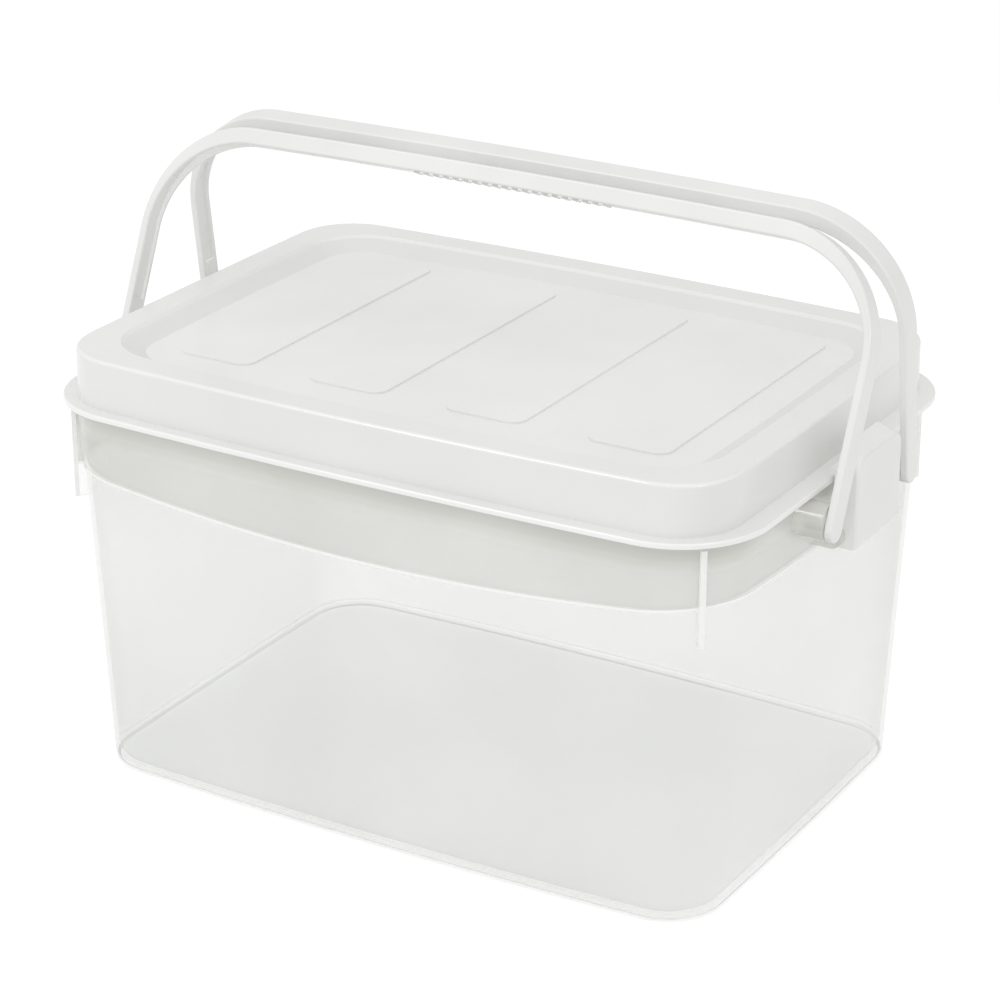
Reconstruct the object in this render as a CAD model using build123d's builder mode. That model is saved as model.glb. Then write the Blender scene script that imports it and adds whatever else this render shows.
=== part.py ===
"""A clear plastic storage box with a white lid, two carry handles and two lid clips.

Units are millimetres. The origin is the centre of the tub's underside, +X runs
along the long side, -Y is the front and +Z is up.
"""

from build123d import *
from math import asin, atan2, cos, hypot, radians, sin
import os

# Tub
base_length = 280.0
base_width = 187.2
base_corner = 24.3
end_flare = 8.0
side_flare = 8.9
corner_flare = 9.9
tub_height = 159.5
long_bow = 4.1
short_bow = 1.0
wall = 1.8
floor_thickness = 2.2
foot_fillet = 3.0
inner_fillet = 4.0

# Collar, a shallow step outwards in the upper wall whose lower edge is curved
collar_step = 1.0
collar_drop = 40.3
collar_radius = 1071.0
collar_inner_rise = 1.5

# Rim and corner ribs
rim_thickness = 2.0
rib_drop = 40.8
rib_reach = 6.6
rib_thickness = 2.2
rib_angle = 45.0

# Lid
end_reach = 6.0
side_reach = 3.6
flange_corner = 37.6
flange_thickness = 2.3
flange_plate = 1.6
flange_top_fillet = 0.8
flange_bottom_fillet = 0.4
skirt_thickness = 1.5
end_ledge = 8.2
side_ledge = 5.4
dome_corner = 27.0
dome_height = 20.4
dome_draft = 0.3
dome_fillet = 1.6
lid_wall = 1.8
border = 14.0
recess_corner = 26.0
recess_depth = 5.0
recess_draft = 8.3
recess_edge = 1.2
panel_count = 4
panel_gap = 27.2
panel_front_gap = 11.5
panel_back_gap = 5.0
panel_corner = 6.0
panel_height = 0.8
plug_depth = 8.0
plug_wall = 1.6

# Carry handles
pivot_y = 33.6
pivot_drop = 9.5
rear_lean = 7.7
front_reach = 107.8
rear_reach = 103.8
handle_width = 10.0
arm_gap = 6.7
arm_thickness = 3.3
arm_end = 7.5
bar_depth = 6.8
bar_crown = 1.0
shoulder_run = 46.0
shoulder_rise = 47.0
channel_web = 1.8
channel_lip = 1.6
channel_start = 29.0
tooth_count = 20
tooth_pitch = 4.5
tooth_thickness = 1.6
tooth_drop = 0.7
tooth_inset = 1.0
handle_fillet = 0.8
pin_diameter = 8.0
pin_length = 8.4
socket_wall = 3.0

# Lid clips
clip_proud = 1.0
clip_wall = 1.8
clip_bottom_drop = 25.5
clip_head = 4.9
clip_top_rise = 3.0
clip_pivot_gap = 2.0
clip_pivot_drop = 20.5
clip_heel = 4.5
clip_back_gap = 1.2
clip_top_depth = 8.5
clip_corner = 6.0
clip_fillet = 1.2
nose_overlap = 0.9
nose_thickness = 2.4
stub_diameter = 4.0
stub_length = 3.0
lug_thickness = 3.0
lug_wall = 2.55

# Clearances of the fits
pin_clearance = 0.05
side_clearance = 0.3
seat_clearance = 0.1
plug_clearance = 0.4
skirt_clearance = 0.4
bore_end_clearance = 0.8
nose_play = 1.5
bar_gap = 0.5
clip_side_gap = 0.4

# Sizes and places that follow from those above
mouth_length = base_length + 2 * end_flare
mouth_width = base_width + 2 * side_flare
collar_bottom = tub_height - collar_drop
rib_bottom = tub_height - rib_drop
flange_length = mouth_length + 2 * end_reach
flange_width = mouth_width + 2 * side_reach
flange_top = tub_height + seat_clearance + flange_plate
flange_bottom = flange_top - flange_thickness
rim_inset = skirt_thickness + skirt_clearance
dome_length = flange_length - 2 * end_ledge
dome_width = flange_width - 2 * side_ledge
lid_top = flange_top + dome_height
recess_length = dome_length - 2 * border
recess_width = dome_width - 2 * border
recess_floor = lid_top - recess_depth
panel_pitch = (recess_length - 2 * recess_draft) / panel_count
panel_length = recess_width - 2 * recess_draft - panel_front_gap - panel_back_gap
panel_middle = (panel_front_gap - panel_back_gap) / 2
flange_end = flange_length / 2 + short_bow
pivot_z = tub_height - pivot_drop
arm_inner = flange_end + arm_gap
arm_outer = arm_inner + arm_thickness
socket_face = arm_inner - side_clearance
wall_middle = mouth_length / 2 + collar_step - wall / 2
clip_face = arm_outer + clip_proud
nose_bottom = flange_top + nose_play
nose_top = nose_bottom + nose_thickness
clip_top = nose_top + clip_head
clip_bottom = tub_height - clip_bottom_drop
clip_pivot_x = flange_end + clip_pivot_gap
clip_pivot_z = tub_height - clip_pivot_drop
lug_radius = stub_diameter / 2 + pin_clearance + lug_wall
socket_radius = pin_diameter / 2 + pin_clearance + socket_wall

# The front handle leans back until the rear corner of its bar rests near the rear handle's bar
rear_angle = radians(rear_lean)
half_width = handle_width / 2
bar_corner_reach = hypot(front_reach, half_width)
bar_corner_offset = 2 * pivot_y * cos(rear_angle) - half_width - bar_gap
front_angle = asin(bar_corner_offset / bar_corner_reach) - rear_angle - atan2(half_width, front_reach)

# The clips' rounded upper corners clear the front handle's arms
corner_rise = clip_top + clip_top_rise - clip_corner - pivot_z
corner_to_arm = clip_corner + clip_side_gap + half_width + corner_rise * sin(front_angle)
clip_half_width = pivot_y + clip_corner - corner_to_arm / cos(front_angle)
lug_inner = clip_half_width + side_clearance


def bowed_outline(length, width, corner):
    """A rounded rectangle whose four sides bow outwards a little."""
    x = length / 2
    y = width / 2
    with BuildSketch() as outline:
        with BuildLine():
            SagittaArc((-x, -y), (x, -y), -long_bow)
            SagittaArc((x, -y), (x, y), -short_bow)
            SagittaArc((x, y), (-x, y), -long_bow)
            SagittaArc((-x, y), (-x, -y), -short_bow)
        make_face()
        fillet(outline.vertices(), corner)
    return outline.sketch


def tub_outline(height, grow):
    """The tub's outer wall line at a height, grown outwards by an amount."""
    share = height / tub_height
    length = base_length + 2 * end_flare * share + 2 * grow
    width = base_width + 2 * side_flare * share + 2 * grow
    return bowed_outline(length, width, base_corner + corner_flare * share + grow)


def flange_outline(inset):
    """The lid flange's outer line, moved inwards by an amount."""
    return bowed_outline(flange_length - 2 * inset, flange_width - 2 * inset, flange_corner - inset)


def dome_outline(inset):
    """The line of the lid's raised middle, moved inwards by an amount."""
    return bowed_outline(dome_length - 2 * inset, dome_width - 2 * inset, dome_corner - inset)


def recess_outline(inset):
    """The line of the sunk panel field in the lid, moved inwards by an amount."""
    return bowed_outline(recess_length - 2 * inset, recess_width - 2 * inset, recess_corner - inset)


def bail_area(reach, half_span, top, start):
    """The area inside a handle's curve: straight arms, elliptical shoulders and a slightly crowned bar."""
    bar_end = arm_outer - shoulder_run
    shoulder = reach - bar_crown - shoulder_rise
    run = half_span - bar_end
    rise = top - bar_crown - shoulder
    with BuildSketch() as area:
        with BuildLine():
            Line((half_span, start), (half_span, shoulder))
            EllipticalCenterArc((bar_end, shoulder), run, rise, start_angle=0, arc_size=90)
            ThreePointArc((bar_end, top - bar_crown), (0, top), (-bar_end, top - bar_crown))
            EllipticalCenterArc((-bar_end, shoulder), run, rise, start_angle=90, arc_size=90)
            Line((-half_span, shoulder), (-half_span, start))
            Line((-half_span, start), (half_span, start))
        make_face()
    return area.sketch


# Collar, kept above a large sphere so that its lower edge rises towards the corners
with BuildPart() as collar:
    for height in (collar_bottom - collar_step, tub_height - rim_thickness / 2):
        with BuildSketch(Plane.XY.offset(height)):
            add(tub_outline(height, collar_step))
    loft(ruled=True)
    with Locations((0, 0, collar_bottom + collar_radius)):
        Sphere(collar_radius, mode=Mode.INTERSECT)

# Hollow of the tub below and inside the collar
with BuildPart() as hollow:
    for height in (floor_thickness, tub_height + wall):
        with BuildSketch(Plane.XY.offset(height)):
            add(tub_outline(height, -wall))
    loft(ruled=True)
    fillet(hollow.edges().group_by(Axis.Z)[0], inner_fillet)

with BuildPart() as collar_hollow:
    for height in (collar_bottom - collar_step, tub_height + wall):
        with BuildSketch(Plane.XY.offset(height)):
            add(tub_outline(height, collar_step - wall))
    loft(ruled=True)
    with Locations((0, 0, collar_bottom + collar_radius)):
        Sphere(collar_radius - collar_inner_rise, mode=Mode.INTERSECT)

# Handle sockets and clip lugs of the right-hand end
with BuildPart() as end_fittings:
    with BuildSketch(Plane.YZ.offset(wall_middle)):
        with Locations((-pivot_y, pivot_z), (pivot_y, pivot_z)):
            Circle(socket_radius)
    extrude(amount=socket_face - wall_middle)
    for side in (-1, 1):
        with BuildSketch(Plane.XZ.offset(side * lug_inner)):
            with Locations((clip_pivot_x, clip_pivot_z)):
                Circle(lug_radius)
            with Locations(((wall_middle + clip_pivot_x) / 2, clip_pivot_z)):
                Rectangle(clip_pivot_x - wall_middle, 2 * lug_radius)
        extrude(amount=side * lug_thickness)

# Tub: floor, walls, collar, rim, corner ribs, sockets and lugs in one moulding
with BuildPart() as tub:
    for height in (0, tub_height - rim_thickness / 2):
        with BuildSketch(Plane.XY.offset(height)):
            add(tub_outline(height, 0))
    loft(ruled=True)
    fillet(tub.edges().group_by(Axis.Z)[0], foot_fillet)
    add(collar.part)
    with BuildSketch(Plane.XY.offset(tub_height - rim_thickness)):
        add(flange_outline(rim_inset))
    extrude(amount=rim_thickness)
    share = rib_bottom / tub_height
    corner_radius = base_corner + corner_flare * share
    corner_x = base_length / 2 + end_flare * share - corner_radius
    corner_y = base_width / 2 + side_flare * share - corner_radius
    rib_length = corner_radius + rib_reach
    rib_centre_x = corner_x + rib_length / 2 * cos(radians(rib_angle))
    rib_centre_y = corner_y + rib_length / 2 * sin(radians(rib_angle))
    with BuildSketch(Plane.XY.offset(rib_bottom)):
        for x_side in (-1, 1):
            for y_side in (-1, 1):
                with Locations((x_side * rib_centre_x, y_side * rib_centre_y)):
                    Rectangle(rib_length, rib_thickness, rotation=x_side * y_side * rib_angle)
    extrude(amount=tub_height - rim_thickness / 2 - rib_bottom)
    add(end_fittings.part)
    add(mirror(end_fittings.part, about=Plane.YZ, mode=Mode.PRIVATE))
    add(hollow.part, mode=Mode.SUBTRACT)
    add(collar_hollow.part, mode=Mode.SUBTRACT)
    for end in (-1, 1):
        bore_plane = Plane(origin=(end * socket_face, 0, pivot_z), x_dir=(0, 1, 0), z_dir=(-end, 0, 0))
        with BuildSketch(bore_plane):
            with Locations((-pivot_y, 0), (pivot_y, 0)):
                Circle(pin_diameter / 2 + pin_clearance)
        extrude(amount=pin_length - side_clearance + bore_end_clearance, mode=Mode.SUBTRACT)
    with BuildSketch(Plane.XZ):
        with Locations((-clip_pivot_x, clip_pivot_z), (clip_pivot_x, clip_pivot_z)):
            Circle(stub_diameter / 2 + pin_clearance)
    extrude(amount=lug_inner + lug_thickness + bore_end_clearance, both=True, mode=Mode.SUBTRACT)

tub.part.label = "tub"

# Lid: flange with a short skirt, hollow dome, sunk field with raised panels, plug ring
with BuildPart() as lid:
    with BuildSketch(Plane.XY.offset(flange_bottom)):
        add(flange_outline(0))
    extrude(amount=flange_thickness)
    fillet(lid.edges().group_by(Axis.Z)[-1], flange_top_fillet)
    fillet(lid.edges().group_by(Axis.Z)[0], flange_bottom_fillet)
    with BuildSketch(Plane.XY.offset(flange_bottom)):
        add(flange_outline(skirt_thickness))
    extrude(amount=flange_thickness - flange_plate, mode=Mode.SUBTRACT)
    with BuildSketch(Plane.XY.offset(flange_top - flange_plate)):
        add(dome_outline(0))
    with BuildSketch(Plane.XY.offset(lid_top)):
        add(dome_outline(dome_draft))
    loft(ruled=True)
    fillet(lid.edges().group_by(Axis.Z)[-1], dome_fillet)
    with BuildSketch(Plane.XY.offset(flange_bottom)):
        add(dome_outline(lid_wall))
    with BuildSketch(Plane.XY.offset(lid_top - lid_wall)):
        add(dome_outline(lid_wall + dome_draft))
    loft(ruled=True, mode=Mode.SUBTRACT)
    for height, inset in (
        (recess_floor - lid_wall, recess_draft - lid_wall),
        (lid_top - lid_wall / 2, -lid_wall),
    ):
        with BuildSketch(Plane.XY.offset(height)):
            add(recess_outline(inset))
    loft(ruled=True)
    for height, inset in (
        (recess_floor, recess_draft),
        (lid_top - recess_edge, 0),
        (lid_top, -recess_edge),
    ):
        with BuildSketch(Plane.XY.offset(height)):
            add(recess_outline(inset))
    loft(ruled=True, mode=Mode.SUBTRACT)
    with BuildSketch(Plane.XY.offset(recess_floor)):
        with Locations((0, panel_middle)):
            with GridLocations(panel_pitch, 0, panel_count, 1):
                RectangleRounded(panel_pitch - panel_gap, panel_length, panel_corner)
    extrude(amount=panel_height)
    plug_outer = collar_step - wall - plug_clearance
    for height in (tub_height - plug_depth, tub_height + seat_clearance):
        with BuildSketch(Plane.XY.offset(height)):
            add(tub_outline(height, plug_outer))
            add(tub_outline(height, plug_outer - plug_wall), mode=Mode.SUBTRACT)
    loft(ruled=True)

lid.part.label = "lid"

os.makedirs("parts", exist_ok=True)
export_step(tub.part, "parts/tub.step")
export_step(lid.part, "parts/lid.step")

# Carry handles: a channel-section bail with finger ribs under the grip and a pin on each arm
for side, angle, reach, handle_name in (
    (-1, front_angle, front_reach, "front_handle"),
    (1, rear_angle, rear_reach, "rear_handle"),
):
    bail_plane = Plane(
        origin=(0, side * pivot_y, pivot_z),
        x_dir=(1, 0, 0),
        z_dir=(0, -cos(angle), -side * sin(angle)),
    )
    bar_bottom = reach - bar_depth
    with BuildPart() as handle:
        with BuildSketch(bail_plane):
            add(bail_area(reach, arm_outer, reach, -arm_end))
            add(bail_area(reach, arm_inner, bar_bottom, -arm_end), mode=Mode.SUBTRACT)
        extrude(amount=half_width, both=True)
        arm_ends = handle.faces().filter_by(Axis(bail_plane.origin, bail_plane.y_dir)).group_by(Axis.Z)[0]
        fillet(arm_ends.edges().filter_by(Axis.X), half_width - pin_clearance)
        side_faces = handle.faces().filter_by(Axis(bail_plane.origin, bail_plane.z_dir))
        fillet(side_faces.edges().filter_by(Axis.X, reverse=True), handle_fillet)
        with BuildSketch(bail_plane):
            add(bail_area(reach, arm_outer - channel_web, reach - channel_web, channel_start))
            add(bail_area(reach, arm_inner, bar_bottom, channel_start), mode=Mode.SUBTRACT)
        extrude(amount=half_width - channel_lip, both=True, mode=Mode.SUBTRACT)
        tooth_height = bar_depth + tooth_drop - channel_web
        with BuildSketch(bail_plane):
            with Locations((0, reach - channel_web - tooth_height / 2)):
                with GridLocations(tooth_pitch, 0, tooth_count, 1):
                    Rectangle(tooth_thickness, tooth_height)
        extrude(amount=half_width - tooth_inset, both=True)
        for end in (-1, 1):
            pin_plane = Plane(
                origin=(end * arm_inner, side * pivot_y, pivot_z),
                x_dir=(0, 1, 0),
                z_dir=(-end, 0, 0),
            )
            with BuildSketch(pin_plane):
                Circle(pin_diameter / 2)
            extrude(amount=pin_length)
    handle.part.label = handle_name
    export_step(handle.part, f"parts/{handle_name}.step")

# Lid clips: a cap that hides the hinge, with a nose that hooks over the lid's flange
heel_x = clip_pivot_x - clip_heel
heel_top = clip_pivot_z + clip_heel
back_x = flange_end + clip_back_gap
nose_tip = flange_end - nose_overlap
top_back = clip_face - clip_top_depth
inside_x = clip_face - clip_wall
inside_half_width = clip_half_width - clip_wall

for end, clip_name in ((-1, "left_clip"), (1, "right_clip")):
    profile_plane = Plane(origin=(0, 0, 0), x_dir=(end, 0, 0), z_dir=(0, -end, 0))
    with BuildPart() as clip:
        with BuildSketch(profile_plane):
            with BuildLine():
                Polyline(
                    (heel_x, clip_bottom),
                    (clip_face, clip_bottom),
                    (clip_face, clip_top),
                    (top_back, clip_top + clip_top_rise),
                    (top_back, nose_top),
                    (nose_tip, nose_top),
                    (nose_tip, nose_bottom),
                    (back_x, nose_bottom),
                    (back_x, heel_top),
                    (heel_x, heel_top),
                    close=True,
                )
            make_face()
        extrude(amount=clip_half_width, both=True)
        top_face = clip.faces().sort_by(Axis.Z)[-1]
        fillet(top_face.edges().filter_by(Axis.Y, reverse=True), clip_corner)
        face_edges = clip.faces().sort_by(Axis.X)[-1 if end > 0 else 0].edges()
        fillet(face_edges, clip_fillet)
        with BuildSketch(profile_plane):
            with Locations(((heel_x - clip_wall + inside_x) / 2, (clip_bottom - clip_wall + nose_bottom) / 2)):
                Rectangle(inside_x - heel_x + clip_wall, nose_bottom - clip_bottom + clip_wall)
        extrude(amount=inside_half_width, both=True, mode=Mode.SUBTRACT)
        with BuildSketch(profile_plane):
            with Locations(((top_back - clip_wall + inside_x) / 2, (nose_top + clip_top - clip_wall) / 2)):
                Rectangle(inside_x - top_back + clip_wall, clip_top - clip_wall - nose_top)
        extrude(amount=clip_half_width - clip_corner, both=True, mode=Mode.SUBTRACT)
        for side in (-1, 1):
            with BuildSketch(Plane.XZ.offset(side * inside_half_width)):
                with Locations((end * clip_pivot_x, clip_pivot_z)):
                    Circle(stub_diameter / 2)
            extrude(amount=side * (clip_wall + stub_length))
    clip.part.label = clip_name
    export_step(clip.part, f"parts/{clip_name}.step")
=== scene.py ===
"""Looks of a clear plastic storage box with a white lid, carry handles and lid clips."""

import math

import bpy
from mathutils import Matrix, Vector

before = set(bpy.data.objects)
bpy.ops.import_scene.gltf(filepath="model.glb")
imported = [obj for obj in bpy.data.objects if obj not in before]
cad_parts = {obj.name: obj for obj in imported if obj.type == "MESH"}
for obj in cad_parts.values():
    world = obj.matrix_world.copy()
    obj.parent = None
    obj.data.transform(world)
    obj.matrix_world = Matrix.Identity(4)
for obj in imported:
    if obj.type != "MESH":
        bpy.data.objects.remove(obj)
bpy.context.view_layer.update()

# Camera, found by fitting the tub's outlines in the photograph
VIEW_AZIMUTH = 30.66
VIEW_ELEVATION = 22.67
VIEW_DISTANCE = 1.2714
VIEW_TARGET = Vector((0.00776, -0.0128, 0.11866))
FOCAL_PIXELS = 3175.9
FRAME_PIXELS = 1000
SENSOR_MM = 36.0

# Lamps: name, place, side in metres and power in watts
LAMPS = (
    ("key", (-0.9, -1.3, 1.7), 0.5, 11.0),
    ("fill", (1.48, -0.69, 1.15), 0.4, 5.0),
)
LAMP_TARGET = Vector((0.0, 0.0, 0.1))

# World and floor
WORLD_STRENGTH = 0.78
FLOOR_SIZE = 12.0
FLOOR_DROP = 0.0001
FLOOR_GLOW = 0.29
FLOOR_COLOUR = (0.83, 0.83, 0.83, 1.0)

# Collar of the tub: the sphere that its curved lower edge lies on, and the step there, which gets a painted
# highlight, in metres
COLLAR_CENTRE = (0.0, 0.0, 1.1902)
COLLAR_RADIUS = 1.071
COLLAR_BLEND = 0.0004
STEP_MIDDLE = 0.0006
STEP_HALF = 0.00065

# Share of each surface of the tub that can't be seen through
BODY_HAZE = 0.15
COLLAR_HAZE = 0.45
RIM_HAZE = 0.80
# The next three hazes let the painted highlights on the step, ribs and foot's upper edge, and the painted
# shadow along the foot, show in the clear wall
EDGE_HAZE = 0.85
FOOT_SHADOW_LINE_HAZE = 0.5
FOOT_HIGHLIGHT_EDGE_HAZE = 0.45

# Haze added where a wall is seen at a low angle, and how early it sets in
GRAZING_HAZE = 0.35
GRAZING_BLEND = 0.25

# Corner ribs: how far out along the diagonal they start to stand proud of the wall, and their top; their
# proud parts get a painted highlight
RIB_START = 0.2345
RIB_TOP = 0.157

# Heights of the foot's rounded edge: its lowest part gets a painted contact shadow and its upper part a
# painted highlight, lighter than the walls
FOOT_SHADOW_LINE = (0.0002, 0.0010)
FOOT_HIGHLIGHT_EDGE = (0.0024, 0.0034)

# Heights over which the collar darkens with painted shade from the lid's flange and grows denser towards
# the rim
RIM_SHADE = (0.149, 0.158)
RIM_DENSE = (0.147, 0.152)

# Heights on the lid: its flange's rounded edge, its sunk field, the field's sides and their upper edge,
# where painted highlights, painted light and painted shade go
FLANGE_EDGE = (0.1580, 0.1611)
FIELD = (0.1758, 0.1778)
FIELD_SIDE = (0.1767, 0.1803)
FIELD_RIM = (0.1803, 0.1816)

# How much a face of the lid looks up, for its level faces, the field's sides and rounded edges, which picks
# the faces that get painted light and shade
LEVEL = (0.95, 1.01)
SLOPING = (0.75, 0.95)
ROUNDED = (0.45, 0.90)

# Colours that each part of a moulding drifts between; those marked below stand for painted light and shade
CLEAR_BODY = ((0.80, 0.81, 0.77, 1), (0.92, 0.93, 0.92, 1))
# the collar band: darker than the body, partly its own warmer, denser tone and partly painted shade from
# the lid above
CLEAR_BAND_AND_SHADE = ((0.69, 0.69, 0.65, 1), (0.80, 0.80, 0.77, 1))
# painted shade under the lid's flange, on the top of the collar
CLEAR_PAINTED_RIM_SHADE = ((0.61, 0.61, 0.57, 1), (0.68, 0.68, 0.65, 1))
# painted highlight on the collar's step, the proud parts of the ribs and the foot's upper edge
CLEAR_PAINTED_HIGHLIGHT = ((0.95, 0.95, 0.94, 1), (0.97, 0.97, 0.96, 1))
# painted contact shadow along the foot's lowest edge
CLEAR_FOOT_PAINTED_SHADOW = ((0.26, 0.26, 0.24, 1), (0.30, 0.30, 0.28, 1))
LID_BODY = ((0.77, 0.77, 0.755, 1), (0.81, 0.81, 0.795, 1))
# painted light that lifts the sunk field above the shade of its recess
LID_FIELD_PAINTED_LIGHT = ((0.79, 0.795, 0.78, 1), (0.84, 0.845, 0.83, 1))
# painted shade on the sloping sides of the sunk field
LID_FIELD_SIDE_PAINTED_SHADE = ((0.735, 0.74, 0.725, 1), (0.765, 0.77, 0.755, 1))
# painted highlight on the rounded edges round the top of the lid
LID_FIELD_RIM_PAINTED_HIGHLIGHT = ((0.81, 0.81, 0.80, 1), (0.84, 0.84, 0.83, 1))
# painted highlight on the flange's rounded edge
LID_FLANGE_PAINTED_HIGHLIGHT = ((0.86, 0.86, 0.85, 1), (0.89, 0.89, 0.88, 1))
WHITE_BODY = ((0.77, 0.77, 0.76, 1), (0.82, 0.82, 0.81, 1))

# Noise: its slow drift and its fine grain, and the noise values that a colour or roughness is spread over
DRIFT_DETAIL = 2.0
GRAIN_DETAIL = 3.0
GRAIN_DEPTH = 0.0002
NOISE_LOW = 0.2
NOISE_HIGH = 0.8


def math_node(tree, operation, *values):
    """A math node on linked sockets and plain numbers."""
    node = tree.nodes.new("ShaderNodeMath")
    node.operation = operation
    for socket, value in zip(node.inputs, values):
        if isinstance(value, (int, float)):
            socket.default_value = value
        else:
            tree.links.new(value, socket)
    return node.outputs[0]


def point(tree):
    """Where on the moulding a point lies, which holds still when the moulding moves."""
    return tree.nodes.new("ShaderNodeTexCoord").outputs["Object"]


def split(tree, vector):
    """The X, Y and Z of a vector."""
    parts = tree.nodes.new("ShaderNodeSeparateXYZ")
    tree.links.new(vector, parts.inputs[0])
    return parts.outputs


def noise(tree, scale, detail):
    """A noise texture on a moulding."""
    texture = tree.nodes.new("ShaderNodeTexNoise")
    texture.inputs["Scale"].default_value = scale
    texture.inputs["Detail"].default_value = detail
    tree.links.new(point(tree), texture.inputs["Vector"])
    return texture.outputs["Fac"]


def rescale(tree, value, low, high, first, second, easing="LINEAR"):
    """A value moved from one range to another, and held within it."""
    node = tree.nodes.new("ShaderNodeMapRange")
    node.interpolation_type = easing
    node.inputs["From Min"].default_value = low
    node.inputs["From Max"].default_value = high
    node.inputs["To Min"].default_value = first
    node.inputs["To Max"].default_value = second
    tree.links.new(value, node.inputs["Value"])
    return node.outputs["Result"]


def ramp(tree, value, colours):
    """A colour between two colours, by a noise value."""
    node = tree.nodes.new("ShaderNodeValToRGB")
    node.color_ramp.interpolation = "EASE"
    for element, position, colour in zip(node.color_ramp.elements, (NOISE_LOW, NOISE_HIGH), colours):
        element.position = position
        element.color = colour
    tree.links.new(value, node.inputs["Fac"])
    return node.outputs["Color"]


def mix_colour(tree, factor, first, second):
    """A colour between two linked colours, by a linked factor."""
    node = tree.nodes.new("ShaderNodeMix")
    node.data_type = "RGBA"
    colours = [socket for socket in node.inputs if socket.type == "RGBA"]
    tree.links.new(factor, node.inputs[0])
    tree.links.new(first, colours[0])
    tree.links.new(second, colours[1])
    return next(socket for socket in node.outputs if socket.type == "RGBA")


def between(tree, value, limits):
    """One where a value lies between two limits."""
    above = math_node(tree, "GREATER_THAN", value, limits[0])
    below = math_node(tree, "LESS_THAN", value, limits[1])
    return math_node(tree, "MULTIPLY", above, below)


def height(tree):
    """How high on a moulding a point lies."""
    return split(tree, point(tree))["Z"]


def height_mask(tree, heights):
    """One between two heights on a moulding."""
    return between(tree, height(tree), heights)


def facing_mask(tree, heights, tilt):
    """One between two heights where a face looks up by an amount between two limits."""
    geometry = tree.nodes.new("ShaderNodeNewGeometry")
    upward = split(tree, geometry.outputs["True Normal"])["Z"]
    return math_node(tree, "MULTIPLY", height_mask(tree, heights), between(tree, upward, tilt))


def rib_mask(tree):
    """One on the parts of the corner ribs that stand proud of the wall."""
    x, y, z = split(tree, point(tree))
    diagonal = math_node(tree, "ADD", math_node(tree, "ABSOLUTE", x), math_node(tree, "ABSOLUTE", y))
    outside = math_node(tree, "GREATER_THAN", diagonal, RIB_START)
    below = math_node(tree, "LESS_THAN", z, RIB_TOP)
    return math_node(tree, "MULTIPLY", outside, below)


def collar_distance(tree):
    """How far inside the collar's sphere a point of the tub lies."""
    distance = tree.nodes.new("ShaderNodeVectorMath")
    distance.operation = "DISTANCE"
    distance.inputs[1].default_value = COLLAR_CENTRE
    tree.links.new(point(tree), distance.inputs[0])
    return math_node(tree, "SUBTRACT", COLLAR_RADIUS, distance.outputs["Value"])


def moulded(name, drift_scale, grain_scale, grain_strength, roughness, ior):
    """A plastic with a fine grain, its node tree, its shader and the slow drift that its colours follow."""
    material = bpy.data.materials.new(name)
    material.use_nodes = True
    tree = material.node_tree
    shader = tree.nodes["Principled BSDF"]
    shader.inputs["IOR"].default_value = ior
    drift = noise(tree, drift_scale, DRIFT_DETAIL)
    spread = rescale(tree, drift, NOISE_LOW, NOISE_HIGH, *roughness, easing="SMOOTHERSTEP")
    tree.links.new(spread, shader.inputs["Roughness"])
    bump = tree.nodes.new("ShaderNodeBump")
    bump.inputs["Strength"].default_value = grain_strength
    bump.inputs["Distance"].default_value = GRAIN_DEPTH
    tree.links.new(noise(tree, grain_scale, GRAIN_DETAIL), bump.inputs["Height"])
    tree.links.new(bump.outputs["Normal"], shader.inputs["Normal"])
    return material, tree, shader, drift


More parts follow.
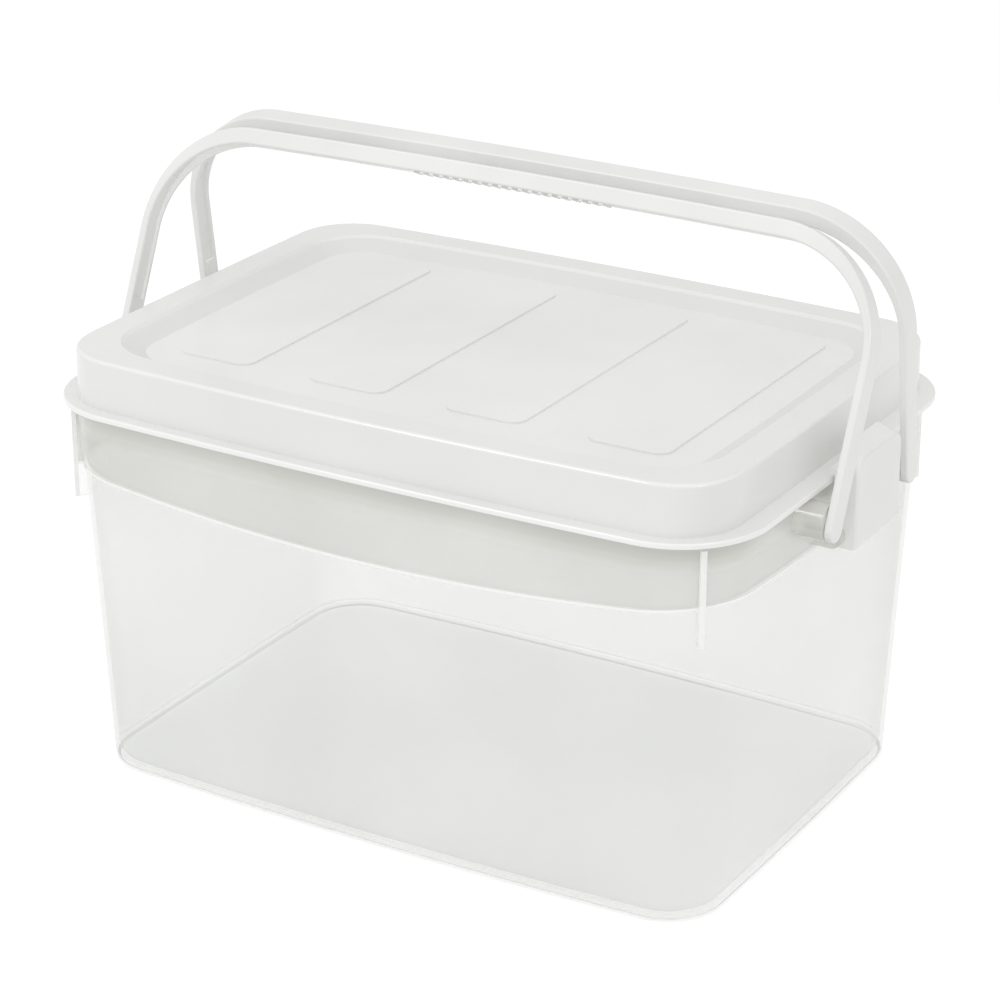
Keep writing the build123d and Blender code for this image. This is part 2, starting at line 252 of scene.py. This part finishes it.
def clear_plastic():
    """Clear moulded polypropylene with a light haze, denser on the collar, its step and the ribs, with
    painted highlights on the step, ribs and foot's upper edge, a painted contact shadow along the foot and
    painted shade on the collar under the lid.
    """
    material, tree, shader, drift = moulded(
        "clear_plastic",
        drift_scale=9.0,
        grain_scale=900.0,
        grain_strength=0.02,
        roughness=(0.12, 0.22),
        ior=1.5,
    )
    inside = collar_distance(tree)
    collar = rescale(tree, inside, -COLLAR_BLEND, COLLAR_BLEND, 0.0, 1.0)
    step = math_node(tree, "COMPARE", inside, STEP_MIDDLE, STEP_HALF)
    # the step and the ribs' proud parts, which get a painted highlight
    edge = math_node(tree, "MAXIMUM", step, rib_mask(tree))
    foot_highlight_edge = height_mask(tree, FOOT_HIGHLIGHT_EDGE)
    foot_shadow_line = height_mask(tree, FOOT_SHADOW_LINE)

    # painted shade from the lid's flange, darkening the collar towards the rim
    painted_rim_shade = rescale(tree, height(tree), *RIM_SHADE, 0.0, 1.0)
    # the collar band's own tone with painted shade from the lid, deepening towards the rim
    band_and_shade = mix_colour(tree, painted_rim_shade, ramp(tree, drift, CLEAR_BAND_AND_SHADE), ramp(tree, drift, CLEAR_PAINTED_RIM_SHADE))
    colour = mix_colour(tree, collar, ramp(tree, drift, CLEAR_BODY), band_and_shade)
    # painted highlight on the step, the ribs and the foot's upper edge
    painted_highlight = math_node(tree, "MAXIMUM", edge, foot_highlight_edge)
    colour = mix_colour(tree, painted_highlight, colour, ramp(tree, drift, CLEAR_PAINTED_HIGHLIGHT))
    # painted contact shadow along the foot
    colour = mix_colour(tree, foot_shadow_line, colour, ramp(tree, drift, CLEAR_FOOT_PAINTED_SHADOW))
    tree.links.new(colour, shader.inputs["Base Color"])

    collar_haze = rescale(tree, height(tree), *RIM_DENSE, COLLAR_HAZE, RIM_HAZE)
    haze = math_node(tree, "MAXIMUM", math_node(tree, "MULTIPLY", collar, collar_haze), BODY_HAZE)
    grazing = tree.nodes.new("ShaderNodeLayerWeight")
    grazing.inputs["Blend"].default_value = GRAZING_BLEND
    haze = math_node(tree, "MULTIPLY_ADD", grazing.outputs["Facing"], GRAZING_HAZE, haze)
    # the painted highlights and the painted foot shadow get their own haze
    for mask, strength in (
        (edge, EDGE_HAZE),
        (foot_highlight_edge, FOOT_HIGHLIGHT_EDGE_HAZE),
        (foot_shadow_line, FOOT_SHADOW_LINE_HAZE),
    ):
        haze = math_node(tree, "MAXIMUM", haze, math_node(tree, "MULTIPLY", mask, strength))
    tree.links.new(haze, shader.inputs["Alpha"])
    return material


def milky_plastic():
    """Milky white plastic of the lid, with painted highlights on its flange's edge and on the rounded edges
    round its top, painted light on its sunk field and painted shade on the field's sides.
    """
    material, tree, shader, drift = moulded(
        "milky_plastic",
        drift_scale=14.0,
        grain_scale=1200.0,
        grain_strength=0.06,
        roughness=(0.17, 0.25),
        ior=1.49,
    )
    colour = ramp(tree, drift, LID_BODY)
    # painted light on the field, painted shade on its sides and painted highlights on the rounded top edges
    # and the flange's edge
    for mask, colours in (
        (facing_mask(tree, FIELD, LEVEL), LID_FIELD_PAINTED_LIGHT),
        (facing_mask(tree, FIELD_SIDE, SLOPING), LID_FIELD_SIDE_PAINTED_SHADE),
        (facing_mask(tree, FIELD_RIM, ROUNDED), LID_FIELD_RIM_PAINTED_HIGHLIGHT),
        (height_mask(tree, FLANGE_EDGE), LID_FLANGE_PAINTED_HIGHLIGHT),
    ):
        colour = mix_colour(tree, mask, colour, ramp(tree, drift, colours))
    tree.links.new(colour, shader.inputs["Base Color"])
    return material


def white_plastic():
    """Opaque white plastic of the handles and clips."""
    material, tree, shader, drift = moulded(
        "white_plastic",
        drift_scale=20.0,
        grain_scale=1500.0,
        grain_strength=0.08,
        roughness=(0.29, 0.37),
        ior=1.49,
    )
    tree.links.new(ramp(tree, drift, WHITE_BODY), shader.inputs["Base Color"])
    return material


def give(material, *nodes):
    """Puts a material on CAD nodes."""
    for node in nodes:
        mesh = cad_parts[node].data
        mesh.materials.clear()
        mesh.materials.append(material)


def make_floor():
    """A plain floor that glows white to the camera and keeps the object's shadow."""
    bpy.ops.mesh.primitive_plane_add(size=FLOOR_SIZE, location=(0, 0, -FLOOR_DROP))
    floor = bpy.context.object
    floor.name = "floor"
    material = bpy.data.materials.new("floor_white")
    material.use_nodes = True
    tree = material.node_tree
    tree.nodes.clear()
    diffuse = tree.nodes.new("ShaderNodeBsdfDiffuse")
    diffuse.inputs["Color"].default_value = FLOOR_COLOUR
    path = tree.nodes.new("ShaderNodeLightPath")
    seen = math_node(tree, "ADD", path.outputs["Is Camera Ray"], path.outputs["Is Glossy Ray"])
    seen = math_node(tree, "ADD", seen, path.outputs["Is Transmission Ray"])
    glow = tree.nodes.new("ShaderNodeEmission")
    tree.links.new(math_node(tree, "MULTIPLY", seen, FLOOR_GLOW), glow.inputs["Strength"])
    total = tree.nodes.new("ShaderNodeAddShader")
    tree.links.new(diffuse.outputs[0], total.inputs[0])
    tree.links.new(glow.outputs[0], total.inputs[1])
    output = tree.nodes.new("ShaderNodeOutputMaterial")
    tree.links.new(total.outputs[0], output.inputs["Surface"])
    floor.data.materials.append(material)


def make_light():
    """A soft world that the camera sees as white, and two shadowless lamps."""
    world = bpy.data.worlds.new("studio")
    bpy.context.scene.world = world
    world.use_nodes = True
    tree = world.node_tree
    background = tree.nodes["Background"]
    background.inputs["Color"].default_value = (1, 1, 1, 1)
    seen = tree.nodes.new("ShaderNodeLightPath").outputs["Is Camera Ray"]
    strength = math_node(tree, "MULTIPLY_ADD", seen, 1.0 - WORLD_STRENGTH, WORLD_STRENGTH)
    tree.links.new(strength, background.inputs["Strength"])
    for name, spot, size, power in LAMPS:
        data = bpy.data.lights.new(name, "AREA")
        data.size = size
        data.energy = power
        data.use_shadow = False
        lamp = bpy.data.objects.new(name, data)
        bpy.context.scene.collection.objects.link(lamp)
        lamp.location = spot
        lamp.rotation_euler = (LAMP_TARGET - Vector(spot)).to_track_quat("-Z", "Y").to_euler()


def make_camera():
    """A camera at the photograph's view."""
    azimuth = math.radians(VIEW_AZIMUTH)
    elevation = math.radians(VIEW_ELEVATION)
    back = Vector((
        math.sin(azimuth) * math.cos(elevation),
        -math.cos(azimuth) * math.cos(elevation),
        math.sin(elevation),
    ))
    data = bpy.data.cameras.new("camera")
    data.sensor_width = SENSOR_MM
    data.lens = FOCAL_PIXELS / FRAME_PIXELS * SENSOR_MM
    camera = bpy.data.objects.new("camera", data)
    bpy.context.scene.collection.objects.link(camera)
    camera.location = VIEW_TARGET + back * VIEW_DISTANCE
    camera.rotation_euler = (-back).to_track_quat("-Z", "Y").to_euler()
    bpy.context.scene.camera = camera


bpy.context.scene.view_settings.view_transform = "Standard"
make_camera()
make_floor()
make_light()

give(clear_plastic(), "tub")
give(milky_plastic(), "lid")
give(white_plastic(), "front_handle", "rear_handle", "left_clip", "right_clip")
